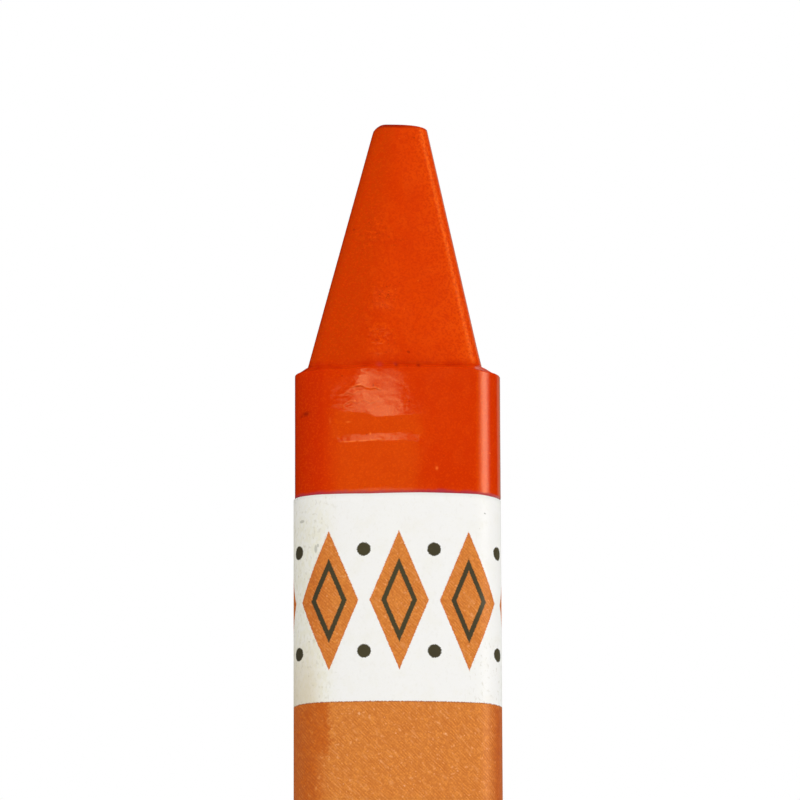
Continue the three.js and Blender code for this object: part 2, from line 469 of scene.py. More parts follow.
def tan_print(mat, sheet, along, up, fibre):
    """Colour of the orange-tan: line screens, scratches, flecks, a stain at the upper left, and painted shade
    at its left side and right rim.
    """
    soft = mat.noise(sheet, 1.4, detail=3)
    slanted = mat.moved(mat.moved(sheet, turn=(0, 0, math.radians(45))), scale=(0.3, 1.0, 1.0))
    scratches = mat.noise(slanted, 6.5, detail=3)
    flecks = mat.noise(mat.moved(sheet, turn=(0.2, 0.7, 0.4)), 4.2, detail=4)
    lines = screen_lines(mat, along, up, SCREEN_PITCH, SCREEN_SLOPE, soft)
    cross = screen_lines(mat, along, up, CROSS_PITCH, CROSS_SLOPE, soft)
    patchy = mat.noise(mat.moved(sheet, turn=(0.6, 0.2, 0.9)), 2.0, detail=3)
    lines = mat.times(lines, mat.between(patchy, 0.38, 0.6, 0.3, 1.0))
    uneven = mat.times(lines, mat.between(fibre, 0.35, 0.65, 0.15, 1.0))
    speckle = mat.noise(mat.moved(sheet, turn=(0.5, 0.3, 0.1)), 6.0, detail=3)
    glints = mat.noise(mat.moved(sheet, turn=(0.8, 0.1, 0.5)), 3.6, detail=2)
    tan = mat.painted(
        PRINT_TAN,
        (mat.between(fibre, 0.34, 0.66, 0.6, 0.0), PRINT_TAN_DEEP),
        (mat.between(speckle, 0.36, 0.56, 0.5, 0.0), PRINT_TAN_DEEP),
        (uneven, PRINT_TAN_DEEP),
        (mat.times(cross, 0.2), PRINT_TAN_DEEP),
        (mat.between(scratches, 0.54, 0.76, 0.0, 0.35), PRINT_TAN_LIGHT),
        (mat.between(scratches, 0.46, 0.3, 0.0, 0.4), PRINT_TAN_DEEP),
        (mat.between(flecks, 0.6, 0.72, 0.0, 0.6), PRINT_TAN_LIGHT),
        (mat.between(glints, 0.72, 0.78, 0.0, 0.7), PRINT_GLINT))
    # Painted shade: the tan darkens towards its left side and its right rim
    left = mat.times(mat.within(along, *LEFT_SHADE, 1.3), mat.between(up, *BORDER_SPAN, 0.85, 0.35))
    right = mat.times(mat.within(along, *RIGHT_SHADE, 1.2), mat.between(up, *BORDER_SPAN, 1.0, 0.2))
    tan = mat.mix(right, tan, TAN_RIM_SHADE, "MULTIPLY")
    ragged = mat.minus(mat.math("MULTIPLY_ADD", soft, 0.9, mat.times(speckle, 0.6)), RAGGED_MEAN)
    stain = mat.within(mat.plus(along, ragged), *STAIN_SPAN, 0.45)
    stain_foot = mat.plus(up, mat.times(ragged, 2.0))
    foot = PRINT_TOP - STAIN_DROP
    stain = mat.times(stain, mat.between(stain_foot, foot - 0.5, foot))
    stain = mat.times(stain, mat.between(up, PRINT_TOP, PRINT_TOP + 0.3, 0.8, 0.2))
    stain_and_shade = mat.math("MAXIMUM", left, stain)
    stain_and_shade = mat.times(stain_and_shade, mat.between(patchy, 0.35, 0.65, 1.05, 0.85))
    return mat.mix(stain_and_shade, tan, TAN_STAIN_AND_SHADE, "MULTIPLY")


def bare_paper(mat, sheet, along, up, fibre):
    """Colour of the white band, with grime at the left corner and specks low at the right one."""
    blotch = mat.noise(sheet, 0.9, detail=3)
    streaks = mat.noise(mat.moved(sheet, scale=(1.0, 0.55, 1.0)), 5.5, detail=6)
    specks = mat.noise(mat.moved(sheet, scale=(1.0, 0.6, 1.0), turn=(0.1, 0.6, 0.2)), 6.5, detail=3)
    left = mat.within(along, *GRIME_SPAN, 1.6)
    lower = mat.between(up, LABEL_TOP - 2.5, LABEL_TOP, 1.0, 0.5)
    smudged = mat.times(left, lower, mat.between(streaks, 0.36, 0.64, 0.36, 0.72))
    faint = mat.between(blotch, 0.45, 0.75, 0.0, 0.14)
    right = mat.within(along, *SPECKLE_SPAN, 0.9)
    right = mat.times(right, mat.between(up, PRINT_TOP + 2.6, PRINT_TOP + 4.4, 0.26, 0.0))
    corner = mat.within(along, GRIME_SPAN[0], GRIME_SPAN[1] - 0.6, 1.3)
    corner = mat.times(corner, mat.between(up, PRINT_TOP, PRINT_TOP + 5.0, 0.5, 0.0))
    dirty = mat.math("MULTIPLY_ADD", left, 0.24, mat.plus(right, 0.06))
    dirty = mat.times(dirty, mat.between(specks, 0.56, 0.7))
    white = mat.painted(
        PAPER_WHITE,
        (mat.math("MAXIMUM", smudged, faint), PAPER_GRIME),
        (mat.between(fibre, 0.55, 0.8, 0.0, 0.2), PAPER_GRIME),
        (corner, PAPER_BROWN),
        (dirty, PAPER_DIRT))
    for mark_along, mark_up, wide, tall in MARKS:
        across = mat.math("DIVIDE", mat.minus(along, mark_along), wide)
        above = mat.math("DIVIDE", mat.minus(up, LABEL_TOP - mark_up), tall)
        away = mat.plus(mat.times(across, across), mat.times(above, above))
        white = mat.mix(mat.between(away, 0.3, 1.3, 0.5, 0.0), white, PAPER_MARK)
    return white


def print_shapes(mat, sheet, along, up):
    """Where the tan, the ink, the tan's dark border and the diamonds' red fringe lie, from 0 to 1."""
    ragged = mat.minus(mat.noise(sheet, 14.0, detail=2), 0.5)

    def stroke(distance):
        """1 where a distance in millimetres is below 0, with a slightly ragged printed edge."""
        torn = mat.math("MULTIPLY_ADD", ragged, RAGGED_EDGE, distance)
        return mat.between(torn, -SOFT_EDGE, SOFT_EDGE, 1.0, 0.0)

    def repeated(offset):
        """Distance along the sheet from the nearest motif. 20 more pitches keep the places above 0."""
        moved = mat.plus(along, MOTIF_PITCH * 20.5 + offset)
        return mat.apart(mat.math("MODULO", moved, MOTIF_PITCH), MOTIF_PITCH / 2)

    height = mat.apart(up, FRIEZE_MIDDLE)
    lozenge = mat.plus(mat.math("DIVIDE", repeated(0.0), DIAMOND_HALF_WIDTH),
                       mat.math("DIVIDE", height, DIAMOND_HALF_HEIGHT))
    diamond = stroke(mat.times(mat.minus(lozenge, 1.0), DIAMOND_HALF_WIDTH))
    inline = mat.times(mat.apart(lozenge, INLINE_SHARE), DIAMOND_HALF_WIDTH)
    inline = stroke(mat.minus(inline, INLINE_HALF_STROKE * 2))
    notch = repeated(MOTIF_PITCH / 2)
    dot_up = mat.minus(height, DOT_HEIGHT)
    dot = mat.math("SQRT", mat.plus(mat.times(notch, notch), mat.times(dot_up, dot_up)))
    dots = stroke(mat.minus(dot, DOT_RADIUS))
    band = stroke(mat.minus(up, PRINT_TOP))

    border = stroke(mat.minus(mat.apart(up, PRINT_TOP - 0.02), BORDER_HALF_WIDTH))
    fringe = mat.times(mat.apart(lozenge, 0.98), DIAMOND_HALF_WIDTH)
    fringe = stroke(mat.minus(fringe, FRINGE_HALF_WIDTH))
    return mat.math("MAXIMUM", diamond, band), mat.math("MAXIMUM", inline, dots), border, fringe


def label_material():
    mat = Shader("label_paper", IOR=1.45, Specular_IOR_Level=0.2, Coat_Weight=0.15, Coat_Roughness=0.22)
    sheet = mat.attribute("sheet", "Vector")
    parts = mat.add("ShaderNodeSeparateXYZ", {0: sheet})
    along, up, lift = parts.outputs[0], parts.outputs[1], parts.outputs[2]
    fibre = mat.noise(sheet, 8.0, detail=4, distortion=0.3)
    specks = mat.noise(mat.moved(sheet, turn=(0.3, 0.5, 0.7)), 2.4, detail=1)
    tan, ink, border, fringe = print_shapes(mat, sheet, along, up)
    colour = mat.painted(
        bare_paper(mat, sheet, along, up, fibre),
        (tan, tan_print(mat, sheet, along, up, fibre)),
        (mat.times(border, 0.55), PRINT_EDGE),
        (mat.times(fringe, 0.3), PRINT_FRINGE),
        (ink, INK),
        (mat.between(specks, 0.80, 0.83, 0.0, 0.5), INK),
        (mat.within(lift, PAPER * 0.3, PAPER * 0.7, PAPER * 0.2), PAPER_CORE),
        (mat.between(lift, 0.0, PAPER * 0.1, 1.0, 0.0), PAPER_CORE))
    mat.drive("Base Color", colour)
    mat.drive("Roughness", mat.between(fibre, 0.3, 0.7, 0.58, 0.75))
    relief = mat.plus(fibre, mat.noise(sheet, 1.2, detail=2))
    mat.drive("Normal", mat.bump(relief, PAPER_RELIEF_m, 0.7))
    return mat.material


PASTE_PALE = srgb(236, 226, 196)
PASTE_DARK = srgb(214, 198, 160)
PASTE_SPREAD_m = 0.0004
PASTE_RELIEF_m = 0.00001


def paste_material():
    mat = Shader("paste", Subsurface_Weight=0.2, Subsurface_Scale=PASTE_SPREAD_m)
    place = in_millimetres(mat)
    lumps = mat.noise(place, 3.0, detail=3)
    mat.drive("Base Color", mat.mix(lumps, PASTE_PALE, PASTE_DARK))
    mat.drive("Roughness", mat.between(lumps, 0.3, 0.7, 0.35, 0.65))
    mat.drive("Normal", mat.bump(lumps, PASTE_RELIEF_m, 0.6))
    return mat.material


# Wax stick. Steps round the section start with the front face, which is fine, because its marks are modelled.
RING_STEPS = (190, 22, 28, 14, 28, 22)
EDGE_RINGS = 8
# Numbers of rings up the bare butt, under the label, up the collar, across the ledge and up the tip
BUTT_RINGS, COVERED_RINGS, COLLAR_RINGS, LEDGE_RINGS, TIP_RINGS = 12, 14, 142, 11, 88
# How far under the label the collar's close rings start
COLLAR_START = 0.2
# Where across it the ledge starts to rise higher and is at its highest
LEDGE_LIFT_SPAN = (2.0, 4.4)


def edge_rings(rows, radius, end, inwards):
    """Rings of points that round off an end's edge, from flat to wall."""
    rings = []
    for angle in np.linspace(0, math.pi / 2, EDGE_RINGS):
        inset = radius * (1 - math.sin(angle))
        height = end + inwards * radius * (1 - math.cos(angle))
        xy = outline(rows, -inset)
        rings.append(np.column_stack([xy, np.full(len(xy), height)]))
    return rings


def tip_ring(height, inset=0.0):
    """Points round the tip at a height above the shoulder."""
    share = (height - LEDGE_RISE) / (TIP_LENGTH - LEDGE_RISE)
    foot_width = FACE_WIDTH - 2 * LEDGE_WIDTH
    width = foot_width + (TIP_END_WIDTH - foot_width) * share
    corner = TIP_CORNER_RADII[0] + (TIP_CORNER_RADII[1] - TIP_CORNER_RADII[0]) * share
    face = TIP_FACE_RADII[0] + (TIP_FACE_RADII[1] - TIP_FACE_RADII[0]) * share
    xy = outline(stations(section_arcs(width, corner, face), RING_STEPS), -inset)
    tilt = TIP_LEAN * share
    axis = TIP_SHIFT + math.tan(TIP_LEAN) * height
    return np.column_stack([axis + xy[:, 0] * math.cos(tilt), xy[:, 1],
                            SHOULDER + height - xy[:, 0] * math.sin(tilt)])


def ledge_lift(across):
    """How much higher than LEDGE_RISE the ledge meets the tip, which it does on the right."""
    return (LEDGE_RISE_RIGHT - LEDGE_RISE) * smooth_step(*LEDGE_LIFT_SPAN, across)


def wax_rings():
    """The ideal stick's rings of points from the butt to the tip's end, and the body's stations."""
    rows = stations(BODY_ARCS, RING_STEPS)
    body = outline(rows)

    def wall(heights):
        return [np.column_stack([body, np.full(len(body), height)]) for height in heights]

    rings = edge_rings(rows, BUTT_EDGE, 0.0, 1)
    rings += wall(np.linspace(BUTT_EDGE, LABEL_BOTTOM, BUTT_RINGS)[1:])
    rings += wall(np.linspace(LABEL_BOTTOM, LABEL_TOP, COVERED_RINGS)[1:-1])
    rings += wall(np.linspace(LABEL_TOP - COLLAR_START, SHOULDER - COLLAR_EDGE, COLLAR_RINGS)[:-1])
    rings += edge_rings(rows, COLLAR_EDGE, SHOULDER, -1)[::-1]
    rim, foot = rings[-1], tip_ring(LEDGE_RISE)
    rings += [rim + (foot - rim) * across for across in np.linspace(0, 1, LEDGE_RINGS)[1:-1]]
    flank_top = TIP_LENGTH - TIP_EDGE
    rings += [tip_ring(height) for height in np.linspace(LEDGE_RISE, flank_top, TIP_RINGS)]
    for angle in np.linspace(0, math.pi / 2, EDGE_RINGS)[1:]:
        rings.append(tip_ring(flank_top + TIP_EDGE * math.sin(angle), TIP_EDGE * (1 - math.cos(angle))))
    return np.array(rings), rows


# Marks on the collar's front, as lines of (across, above the label) points. The dented, glossy patch: its
# lower edge, where its sides fade, its lean in degrees at the foot and PATCH_TALL above it, and the further
# lean that dims it just below the rim
PATCH_EDGE = ((-6.0, 5.4), (-3.64, 4.95), (-2.83, 4.82), (-1.8, 4.7), (-1.31, 4.44), (0.32, 4.58), (4.0, 4.9))
PATCH_LEFT, PATCH_RIGHT = (-6.0, -5.0), (1.3, 4.8)
PATCH_LEANS = (4.1, 5.6)
PATCH_TALL = 2.2
PATCH_TOP_LEAN, PATCH_TOP = 2.0, (6.9, 7.4)
# How far above the patch's edge and where across its depth is evened out
EVENED_ABOVE = (0.3, 1.3)
EVENED_SPAN, EVENED_FADE = (-3.4, 3.4), 0.8
EVENED_COLUMNS = 11
# The streak below the patch
STREAK_EDGE = ((-3.5, 2.98), (-1.55, 3.07), (0.1, 3.12), (1.2, 2.96))
STREAK_SPAN, STREAK_FADE = (-4.0, 1.6), 0.8
STREAK_TALL, STREAK_LEAN = 0.46, 2.9
# Wrinkles in the patch, how far they lean, in degrees, and over what length their ends fade
WRINKLES = (((-2.75, 6.22), (-2.45, 6.34), (-2.2, 6.37), (-1.96, 6.22), (-1.6, 6.15), (-1.35, 6.2),
             (-1.1, 6.05)),
            ((-3.36, 5.7), (-3.06, 5.94), (-2.71, 5.82), (-2.36, 6.0)),
            ((-3.18, 5.16), (-2.83, 5.4), (-2.42, 5.28), (-2.07, 5.46), (-1.66, 5.28), (-1.25, 5.4)))
WRINKLE_LEANS = (10, 5, 4)
WRINKLE_FADE = 0.8
# How far the patch's and the wrinkles' edges wander, and the streak's
PATCH_WANDER, STREAK_WANDER = 0.03, 0.015

# Single marks as (across, height above the label, half width, half height, strength)
COLLAR_TOP = SHOULDER - LABEL_TOP
STAINS = ((-5.38, 4.81, 0.17, 0.13, 0.95), (-5.62, 4.7, 0.07, 0.06, 0.7),
          (-0.12, COLLAR_TOP + 0.12, 0.11, 0.16, 0.8), (1.16, COLLAR_TOP + 0.12, 0.11, 0.16, 1.0),
          (0.5, COLLAR_TOP + 0.04, 0.08, 0.07, 0.5), (-2.0, COLLAR_TOP + 0.06, 0.2, 0.06, 0.4))
SMEARS = ((-1.12, COLLAR_TOP + 0.16, 0.17, 0.18, 0.4), (-0.2, COLLAR_TOP + 0.2, 0.09, 0.1, 0.3))
FLECKS = ((2.18, 1.43, 0.075, 0.09, 1.0), (-1.68, 3.46, 0.05, 0.06, 0.9), (-2.95, 4.18, 0.13, 0.04, 0.6),
          (-4.0, 4.25, 0.05, 0.16, 0.3))

# How far the label's top edge sags, by place across the front, and elsewhere
TOP_SAG = ((-6.0, 0.065), (-5.3, 0.1), (-3.0, 0.105), (-1.8, 0.12), (0.0, 0.08), (1.3, 0.05), (4.6, 0.048),
           (5.2, 0.08), (6.0, 0.096))
BACK_SAG = 0.04


def line_height(line, across):
    xs, zs = np.array(line).T
    return np.interp(across, xs, zs)


def top_sag(x, y):
    """How far the label's top edge hangs below its nominal height at a place round the stick."""
    at_back = smooth_step(-2.0, 1.5, y)
    return line_height(TOP_SAG, x) * (1 - at_back) + BACK_SAG * at_back


def wander(points):
    """The slow waver from -1 to 1 that the edges of the marks share."""
    return noise(points, 0.8, 2, shift=3.1)


def in_front(points):
    """Places across the front and above the label."""
    return points[:, 0], points[:, 2] - LABEL_TOP


def streak_height(points):
    """Height above the streak's lower edge, and how far its ends let it be seen."""
    across, above = in_front(points)
    up = above - line_height(STREAK_EDGE, across) - STREAK_WANDER * wander(points)
    return up, ends(across, *STREAK_SPAN, STREAK_FADE)


def folds(points):
    """For each wrinkle, the height above it, how far its ends let it be seen, and its lean."""
    across, above = in_front(points)
    waver = PATCH_WANDER * wander(points)
    for line, bend in zip(WRINKLES, WRINKLE_LEANS):
        folded = ends(across, line[0][0] - WRINKLE_FADE / 2, line[-1][0] + WRINKLE_FADE / 2, WRINKLE_FADE)
        yield above - line_height(line, across) - waver, folded, bend


def lean_back(points):
    """Degrees by which the wax of the collar's front leans back at each point."""
    across, above = in_front(points)
    up = above - line_height(PATCH_EDGE, across) - PATCH_WANDER * wander(points)
    patch = smooth_step(0.0, 0.07, up) * smooth_step(*PATCH_LEFT, across) * fade(*PATCH_RIGHT, across)
    low, high = PATCH_LEANS
    lean = low + (high - low) * smooth_step(0.0, PATCH_TALL, up)
    lean = patch * (lean + PATCH_TOP_LEAN * smooth_step(*PATCH_TOP, above))
    streak_up, streak = streak_height(points)
    lean += streak * STREAK_LEAN * ends(streak_up, -0.02, STREAK_TALL, 0.05)
    lean += streak * 0.5 * hump(streak_up, 0.04, 0.035)
    lean -= streak * 0.5 * STREAK_LEAN * ends(streak_up, STREAK_TALL, 3 * STREAK_TALL, 0.1)
    return lean


def fold_lean(points):
    """Degrees by which the wax leans: forward in each wrinkle, and a little back above it."""
    lean = np.zeros(len(points))
    for fold, folded, bend in folds(points):
        lean -= bend * folded * (hump(fold, 0.0, 0.045) - 0.07 * hump(fold, 0.35, 0.3))
    return lean


def evened(depths):
    """Depths averaged along each ring over EVENED_COLUMNS or so to either side."""
    offsets = np.arange(-2 * EVENED_COLUMNS, 2 * EVENED_COLUMNS + 1)
    weights = hump(offsets, 0, EVENED_COLUMNS)
    shifted = (np.roll(depths, offset, axis=1) * weight for offset, weight in zip(offsets, weights))
    return sum(shifted) / weights.sum()


def fold_shade_and_highlights(points):
    """Strength of the painted shade in the wrinkles' dark lines, and of the painted highlights on the lips
    above them and below the streak.
    """
    dark, bright = np.zeros(len(points)), np.zeros(len(points))
    broken = smooth_step(-0.7, 0.15, noise(points, 0.3, 2, shift=30.0))
    for fold, folded, bend in folds(points):
        dark += 0.08 * bend * folded * broken * hump(fold, -0.01, 0.04)
        bright += 0.06 * bend * folded * broken * hump(fold, 0.075, 0.035)
    streak_up, _ = streak_height(points)
    bright += 0.8 * ends(points[:, 0], -3.5, -0.6, 0.7) * broken * hump(streak_up, 0.01, 0.035)
    return dark, bright


def ripples(points):
    """Small unevenness of the collar's marked places, in millimetres."""
    across, above = in_front(points)
    patch = smooth_step(-0.05, 0.1, above - line_height(PATCH_EDGE, across))
    patch *= ends(across, -5.0, 1.6, 1.5)
    streak = ends(above - line_height(STREAK_EDGE, across), -0.15, 0.7, 0.15) * ends(across, -4.2, 1.8, 0.6)
    fine = 0.0055 * noise(points, 0.36, 3, shift=1.7)
    flat = noise(points * np.array([1.0, 1.0, 3.4]), 0.55, 2, shift=6.2)
    wrinkled = 0.0025 + 0.004 * ends(across, -4.4, -1.2, 0.8)
    calm = 1 - 0.8 * smooth_step(6.15, 6.5, above)
    grit = 0.0026 * noise(points, 0.2, 2, shift=8.8)
    return patch * (calm * (fine + wrinkled * flat) + grit) + streak * (1.7 * fine + 0.002 * flat + grit)


def spots(points, marks):
    """Strength of small round marks at each point of the front."""
    total = np.zeros(len(points))
    for across, above, wide, tall, strength in marks:
        away = ((points[:, 0] - across) / wide) ** 2 + ((points[:, 2] - LABEL_TOP - above) / tall) ** 2
        total = np.maximum(total, strength * np.exp(-away))
    return total


# The tip's worn end: where across it starts, its slope, the softness of the bend, and how far down it acts
WORN_END = ((-0.93, 0.62, 0.05), (0.82, -0.16, 0.02))
WORN_REACH = 1.0
# The stick's right side is a hair fuller above the label
RIGHT_SWELL, COLLAR_SWELL = 0.0052, 0.0014
# How far the rim hangs down, where across that sets in and is full, and over which heights
DROOPS = ((0.12, -2.0, -3.1), (0.17, 3.5, 5.2))
DROOP_HEIGHTS = (-0.7, -0.15)
# How high up the tip the higher part of the ledge still lifts it
LIFT_END = 1.3


def worn_shape(points):
    """The ideal stick's points with the rim's droop, the ledge's slope and the tip's worn end."""
    x, y, z = points.T.copy()
    height = z - SHOULDER
    z = z + ledge_lift(x) * smooth_step(0.0, LEDGE_RISE, height) * fade(LEDGE_RISE, LIFT_END, height)
    hanging = smooth_step(*DROOP_HEIGHTS, height) * fade(0.0, LEDGE_RISE, height)
    for drop, start, full in DROOPS:
        z = z - drop * hanging * smooth_step(0.0, 1.0, (x - start) / (full - start))
    for start, slope, softness in WORN_END:
        over = (z - STICK_LENGTH - slope * (x - start)) / softness
        z = np.where(z > STICK_LENGTH - WORN_REACH, z - softness * np.logaddexp(0.0, over), z)
    swell = RIGHT_SWELL + COLLAR_SWELL * fade(-0.1, LEDGE_RISE, height)
    x = x + swell * (x + FACE_WIDTH / 2) * smooth_step(LABEL_TOP - 0.05, LABEL_TOP + 0.1, z)
    return np.column_stack([x, y, z])


# Places round the stick, in degrees that its wall is turned to the right: half the front face, the side that
# bears the marks, where the right corner fades in and out, and where the painted shade of the left side ends
# at the back
FRONT_HALF = 20
MARKED_SIDE = (-75, 20)
RIGHT_CORNER = (8, 16, 60, 80)
LEFT_END = (100, 115)
# Depths of the chips at the tip's foot, of the corner's roughness, and of the bare wax's wobble
CHIP_DEPTH = 0.02
CORNER_ROUGHNESS = 0.003
WOBBLE, FINE_WOBBLE, MEAN_DEPTH = 0.006, 0.0022, 0.007


def on_marked_side(turned):
    return (turned > MARKED_SIDE[0]) & (turned < MARKED_SIDE[1])


def pressed_in(points, turned, shape):
    """How deep the collar's marks are pressed in at each point of the rings, in millimetres."""
    across, above, height = points[:, 0], points[:, 2] - LABEL_TOP, points[:, 2] - SHOULDER
    marked = on_marked_side(turned)
    collar = smooth_step(0.0, 0.3, above) * fade(-0.05, 0.02, height)
    climb = np.diff(points[:, 2].reshape(shape), axis=0, prepend=0.0)

    def sunk(lean):
        """Depth that a lean adds up to on the way up the marked side of the collar."""
        lean = np.where(marked, lean * collar, 0.0).reshape(shape)
        return np.cumsum(np.tan(np.radians(lean)) * climb, axis=0)

    pressed = sunk(lean_back(points))
    over = smooth_step(*EVENED_ABOVE, above - line_height(PATCH_EDGE, across))
    over = (over * ends(across, *EVENED_SPAN, EVENED_FADE)).reshape(shape)
    pressed += over * (evened(pressed) - pressed) + sunk(fold_lean(points))
    pressed = pressed.ravel() * fade(0.0, 0.26, height)
    pressed += np.where(marked, ripples(points) * collar, 0.0)
    start, full, still_full, end = RIGHT_CORNER
    corner = smooth_step(start, full, turned) * fade(still_full, end, turned)
    rough = noise(points * np.array([1.0, 1.0, 1.6]), 0.38, 3, shift=21.0)
    return pressed + CORNER_ROUGHNESS * corner * collar * rough


def wax_marks(points, turned, chips):
    """Strength of the wax's stains, flecks and wear, the mauve line along the label's edge, and painted shade
    and painted highlights at each point, by attribute.
    """
    x, y = points[:, 0], points[:, 1]
    above, height = points[:, 2] - LABEL_TOP, points[:, 2] - SHOULDER
    front = np.abs(turned) < FRONT_HALF
    marked = on_marked_side(turned)
    on_tip = smooth_step(0.25, 0.8, height)
    left_side = fade(*LEFT_END, -turned)
    ledge = smooth_step(-0.01, 0.02, height) * fade(LEDGE_RISE - 0.02, LEDGE_RISE + 0.1, height)
    ledge *= smooth_step(22, 40, turned) * fade(100, 115, turned)
    # Painted shade in the crease between the ledge and the tip's foot
    crevice_shade = smooth_step(0.01, 0.05, height) * fade(0.3, 0.6, height) * fade(3.6, 4.6, x)
    crevice_shade *= 0.12 + 0.45 * smooth_step(-0.4, 0.5, noise(points, 0.6, 2, shift=2.0))
    # Painted shade: a dark line along the tip's top edge, fainter towards the right
    end_shade = smooth_step(TIP_LENGTH - 0.25, TIP_LENGTH - 0.12, height)
    end_shade *= 1 - 0.5 * smooth_step(-0.2, 1.2, x)
    wear = hump(x, -1.0, 1.25) * smooth_step(0.3, 1.6, height) * fade(7.5, 11.5, height)
    wear *= 0.25 + 0.75 * smooth_step(-0.35, 0.4, noise(points, 1.1, 2, shift=12.0))
    # The ridge paints a highlight along the tip's right corner, and also roughens and grains it there
    ridge = on_tip * (smooth_step(2, 24, turned) * (1 - 0.45 * smooth_step(30, 44, turned)))
    uncovered = above + top_sag(x, y)
    # A thin mauve line on the wax along the label's top edge
    label_edge_line = (above > -0.2) * fade(0.06, 0.27, uncovered + 0.09 * noise(points, 0.3, 2, shift=4.4))
    fold_shade, fold_highlights = fold_shade_and_highlights(points)
    return {
        # Real spots and chips, and painted shade in the wrinkles and along the tip's top edge
        "stain": marked * (spots(points, STAINS) + fold_shade) + end_shade + 0.3 * chips,
        "smear_and_edge_line": label_edge_line + spots(points, SMEARS) * front,
        # Real flecks, and painted highlights on the wrinkles' lips
        "fleck_and_highlight": (spots(points, FLECKS) + fold_highlights) * front,
        "crevice_shade": crevice_shade,
        # Painted shade: darker wax towards the left side of the stick and of the tip
        "side": (0.42 + 0.58 * smooth_step(8, 17, -turned) * left_side) * (1 - on_tip),
        "shade": smooth_step(0, 11, -turned) * left_side * on_tip,
        "wear": wear * front,
        "end": smooth_step(TIP_LENGTH - 0.1, TIP_LENGTH - 0.02, height) + 0.7 * ledge,
        "ridge": ridge * (turned > 0) * fade(70, 100, turned),
    }


def end_caps(points, count, around):
    """The middle points of the first and last ring, and the faces that join them to those rings."""
    middles, faces = [], []
    for ring, flip in ((0, True), (count - 1, False)):
        middle = len(points) + len(middles)
        middles.append(points[ring * around:(ring + 1) * around].mean(axis=0))
        for j in range(around):
            a, b = ring * around + j, ring * around + (j + 1) % around
            faces.append([middle, b, a] if flip else [middle, a, b])
    return middles, faces


def make_wax():
    rings, rows = wax_rings()
    count, around = rings.shape[:2]
    points = rings.reshape(-1, 3)
    heading = np.tile(rows[:, 3], count)
    turned = np.degrees((heading - FRONT_ANGLE + math.pi) % (2 * math.pi) - math.pi)
    out = np.column_stack([np.cos(heading), np.sin(heading), np.zeros(len(heading))])
    above, height = points[:, 2] - LABEL_TOP, points[:, 2] - SHOULDER
    bare = smooth_step(0.0, 0.3, above) + fade(LABEL_BOTTOM - 0.3, LABEL_BOTTOM, points[:, 2])
    chips = hump(height, 0.2, 0.18) * smooth_step(0.3, 0.8, noise(points, 0.5, 2, shift=9.0))
    depth = WOBBLE * noise(points, 3.0, 2) + FINE_WOBBLE * noise(points, 0.8, 2, shift=5.0) + MEAN_DEPTH
    depth = depth * bare + pressed_in(points, turned, (count, around)) + CHIP_DEPTH * chips
    moved = worn_shape(points) - out * depth[:, None]
    middles, caps = end_caps(moved, count, around)
    faces = grid_faces(count, around, closed=True).tolist() + caps
    # The two middle points bear no marks, but the upper one belongs to the tip's worn end
    marks = {name: np.append(np.clip(values, 0, 1), [0, name == "end"])
             for name, values in wax_marks(points, turned, chips).items()}
    piece = make_piece("wax_body", np.vstack([moved, middles]), faces, wax_material(), marks)
    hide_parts("wax_stick")


# Paper label
SEAT = PASTE + 2 * FILM_GAP
LAP_SEAT = SEAT + PAPER + PASTE + 2 * FILM_GAP
LAP_MIDDLE = ARC_LENGTHS[0] + ARC_LENGTHS[1] + ARC_LENGTHS[2] / 2
SHEET_START = LAP_MIDDLE - LAP_WIDTH / 2
SHEET_END = SHEET_START + GIRTH + LAP_WIDTH
CLIMB_END = SHEET_START + GIRTH - FILM_GAP
SHEET_COLUMNS, SHEET_ROWS = 210, 150
# How far below the label's top edge its sag starts
SAG_REACH = 1.5


def place_round(distance):
    """Middle, radius and angle on the body at a distance round it from the start of the front face."""
    rest = distance % GIRTH
    for arc, length in zip(BODY_ARCS, ARC_LENGTHS):
        if rest <= length:
            break
        rest -= length
    x, y, radius, first, _ = arc
    return x, y, radius, first + rest / radius


def make_label():
    """A closed sheet of an outer and an inner layer of points, and faces round its edge."""
    distances = np.linspace(SHEET_START, SHEET_END, SHEET_COLUMNS)
    heights = np.linspace(LABEL_BOTTOM, LABEL_TOP, SHEET_ROWS)
    rows = np.array([place_round(distance) for distance in distances])
    climbed = smooth_step(CLIMB_END - LAP_CLIMB, CLIMB_END, distances)
    seat = SEAT + (LAP_SEAT - SEAT) * climbed
    along = distances - GIRTH - ARC_LENGTHS[0] / 2
    layers, sheet = [], []
    for lift in (PAPER, 0.0):
        xy = outline(rows, seat + lift)
        for height in heights:
            sag = top_sag(xy[:, 0], xy[:, 1]) * smooth_step(LABEL_TOP - SAG_REACH, LABEL_TOP, height)
            layers.append(np.column_stack([xy, height - sag]))
            sheet.append(np.column_stack([along, np.full(len(xy), height), np.full(len(xy), lift)]))
    side = SHEET_ROWS * SHEET_COLUMNS
    outer = grid_faces(SHEET_ROWS, SHEET_COLUMNS, closed=False)
    inner = outer[:, ::-1] + side
    index = np.arange(side).reshape(SHEET_ROWS, SHEET_COLUMNS)
    rim = np.concatenate([index[0, :-1], index[:-1, -1], index[-1, :0:-1], index[:0:-1, 0]])
    after = np.roll(rim, -1)
    edges = np.column_stack([rim + side, after + side, after, rim])
    faces = np.vstack([outer, inner, edges])
    piece = make_piece("label_sheet", np.vstack(layers), faces, label_material(), {"sheet": np.vstack(sheet)})
    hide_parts("paper_wrapper")


def dress_paste():
    """Give the frame's two films of paste their look."""
    material = paste_material()
    for node in ("start_glue", "lap_glue"):
        for slot in bpy.data.objects[node].material_slots:
            slot.material = material


# Stage
FLOOR_SIZE_m = 4.0
FLOOR_COLOUR = (0.9, 0.9, 0.9, 1.0)
WHITE = (1, 1, 1, 1)
# How far from the crayon the floor starts and ends turning into the white background
FLOOR_FADE_m = (0.06, 0.3)
AMBIENT = 0.77


